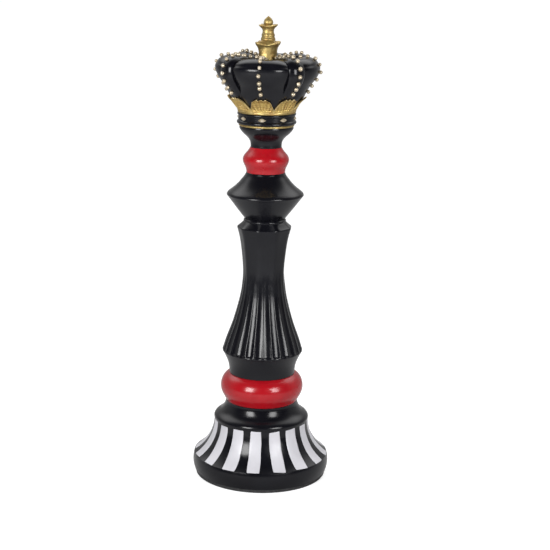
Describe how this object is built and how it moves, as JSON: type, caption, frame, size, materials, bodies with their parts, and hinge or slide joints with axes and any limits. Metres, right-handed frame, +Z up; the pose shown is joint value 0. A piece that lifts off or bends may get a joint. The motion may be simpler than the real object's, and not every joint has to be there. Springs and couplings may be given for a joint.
{
  "type": "chess piece ornament",
  "caption": "Tall decorative chess king with a striped foot, red rings, a fluted column and a puffed black crown with gold coronet, beads and finial.",
  "frame": {"origin": "centre of the foot pad's underside, on the surface that the piece stands on", "axes": "+Z up along the turned axis; -Y is the side that a viewer faces"},
  "size_m": [0.089, 0.089, 0.298],
  "materials": {
    "black_resin": "satin-gloss black paint on cast resin",
    "red_resin": "deep gloss red paint on cast resin",
    "white_paint": "hand-painted satin white",
    "gold_paint": "antique gold metallic paint, rubbed bright on the edges",
    "pale_gold_paint": "pale gold pearl paint",
    "foot_pad": "matt black foam pad",
    "ballast_iron": "rough casting"
  },
  "bodies": {
    "root": {"base_pad": "foot_pad", "ballast_weight": "ballast_iron", "base_stripes": "white_paint", "base": "black_resin", "lower_ring": "red_resin", "column_collar": "black_resin", "fluted_column": "black_resin", "saucer": "black_resin", "upper_ring": "red_resin", "neck": "black_resin", "crown_lower_fillet": "gold_paint", "crown_band": "black_resin", "crown_upper_fillet": "gold_paint", "band_jewel_1": "pale_gold_paint", "band_jewel_2": "pale_gold_paint", "band_jewel_3": "pale_gold_paint", "band_jewel_4": "pale_gold_paint", "band_jewel_5": "pale_gold_paint", "band_jewel_6": "pale_gold_paint", "band_jewel_7": "pale_gold_paint", "band_jewel_8": "pale_gold_paint", "crown_petal_1": "gold_paint", "crown_petal_2": "gold_paint", "crown_petal_3": "gold_paint", "crown_petal_4": "gold_paint", "crown_petal_5": "gold_paint", "crown_petal_6": "gold_paint", "crown_petal_7": "gold_paint", "crown_petal_8": "gold_paint", "crown_arch_1": "black_resin", "crown_arch_2": "black_resin", "crown_arch_3": "black_resin", "crown_arch_4": "black_resin", "crown_cap": "black_resin", "bead_row_1": "pale_gold_paint", "bead_row_2": "pale_gold_paint", "bead_row_3": "pale_gold_paint", "bead_row_4": "pale_gold_paint", "bead_row_5": "pale_gold_paint", "bead_row_6": "pale_gold_paint", "bead_row_7": "pale_gold_paint", "bead_row_8": "pale_gold_paint", "finial_drum": "gold_paint", "finial_stem": "gold_paint", "finial_tip": "gold_paint"}
  },
  "joints": []
}
